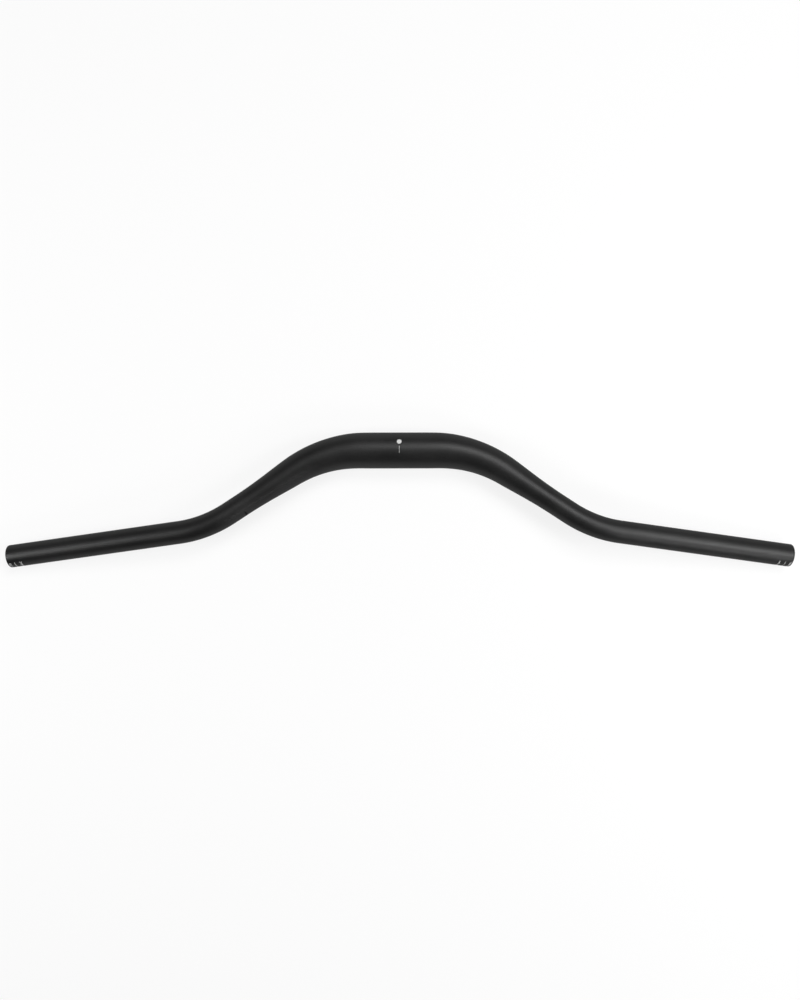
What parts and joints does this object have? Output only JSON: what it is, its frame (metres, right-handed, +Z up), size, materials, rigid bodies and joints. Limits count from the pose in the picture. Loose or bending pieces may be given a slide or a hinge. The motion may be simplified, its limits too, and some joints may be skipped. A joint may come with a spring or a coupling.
{
  "type": "touring handlebar",
  "caption": "Black touring handlebar: a bent, tapered and hollow aluminium tube with a round stem clamp zone, a tall rise, and swept-back grip ends that are open for plugs.",
  "frame": {"origin": "middle of the stem clamp zone, on the tube's axis", "axes": "+X along the clamp axis to the rider's right, +Z up from the table that the bar lies on, +Y level from the grips to the clamp zone. Turned back about X by 65.3 degrees, +Y is forward and +Z is up as ridden"},
  "size_m": [0.77, 0.1319, 0.0416],
  "materials": {
    "black_anodised": "matte"
  },
  "bodies": {
    "root": {"handlebar_tube": "black_anodised"}
  },
  "joints": []
}
